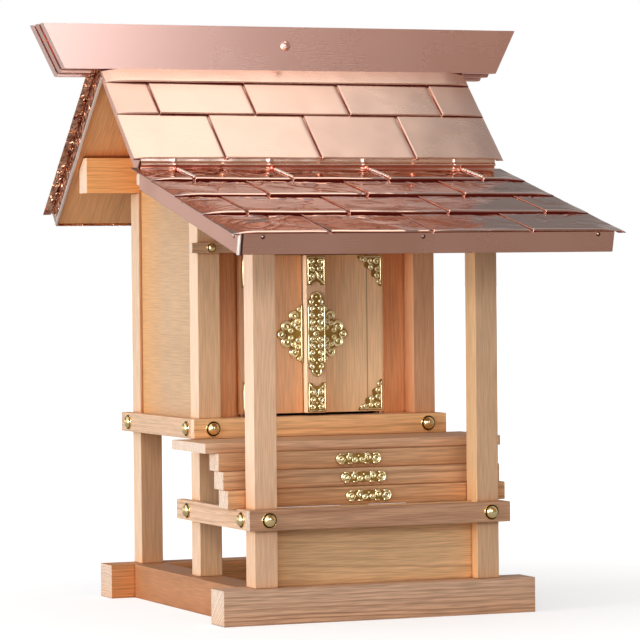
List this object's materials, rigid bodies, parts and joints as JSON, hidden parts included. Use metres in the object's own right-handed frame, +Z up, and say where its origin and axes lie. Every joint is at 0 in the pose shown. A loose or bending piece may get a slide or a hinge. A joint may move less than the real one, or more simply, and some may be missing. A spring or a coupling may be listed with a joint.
{
  "type": "wayside shrine",
  "caption": "Small outdoor house shrine in plain wood with a copper gable roof, a porch roof on posts, steps, a veranda and two hinged doors with brass fittings.",
  "frame": {"origin": "Centre of the bounding box, on the ground", "axes": "+X to the right seen from the front, +Y to the back, +Z up; the doors face -Y"},
  "size_m": [0.486, 0.5228, 0.548],
  "materials": {
    "wood": "planed, unpainted",
    "pale_wood": "planed, unpainted",
    "copper": "bright rolled copper sheet",
    "brass": "gilt, polished"
  },
  "bodies": {
    "shrine": {"front_sill": "wood", "rear_sill": "wood", "left_sill": "wood", "right_sill": "wood", "rear_left_post": "wood", "rear_right_post": "wood", "front_left_post": "wood", "front_right_post": "wood", "porch_left_post": "wood", "porch_right_post": "wood", "left_wall": "pale_wood", "right_wall": "pale_wood", "rear_wall": "pale_wood", "floor_board": "wood", "front_frame": "pale_wood", "floor_band_front": "wood", "floor_band_left": "wood", "floor_band_right": "wood", "upper_band": "wood", "porch_band_front": "wood", "porch_band_left": "wood", "porch_band_right": "wood", "band_domes": "brass", "veranda_board": "wood", "upper_step": "wood", "middle_step": "wood", "lower_step": "wood", "step_plates": "brass", "porch_panel": "wood", "front_beam": "wood", "rear_beam": "wood", "main_front_board": "wood", "main_rear_board": "wood", "main_front_edging": "copper", "main_rear_edging": "copper", "main_front_copper": "copper", "main_rear_copper": "copper", "porch_board": "wood", "porch_edging": "copper", "porch_copper": "copper", "ridge_front_cover": "copper", "ridge_core": "copper", "ridge_rear_cover": "copper", "ridge_boss": "copper"},
    "left_leaf": {"left_door": "pale_wood", "left_door_plates": "brass"},
    "right_leaf": {"right_door": "pale_wood", "right_door_plates": "brass", "door_batten": "pale_wood", "batten_plates": "brass"}
  },
  "joints": [
    {"name": "left_door_hinge", "type": "hinge", "parent": "shrine", "child": "left_leaf", "pos_m": [-0.0708, 0.02329, 0.255], "axis": [0, 0, -1], "range_deg": [0, 105]},
    {"name": "right_door_hinge", "type": "hinge", "parent": "shrine", "child": "right_leaf", "pos_m": [0.0708, 0.02329, 0.255], "axis": [0, 0, 1], "range_deg": [0, 105]}
  ]
}
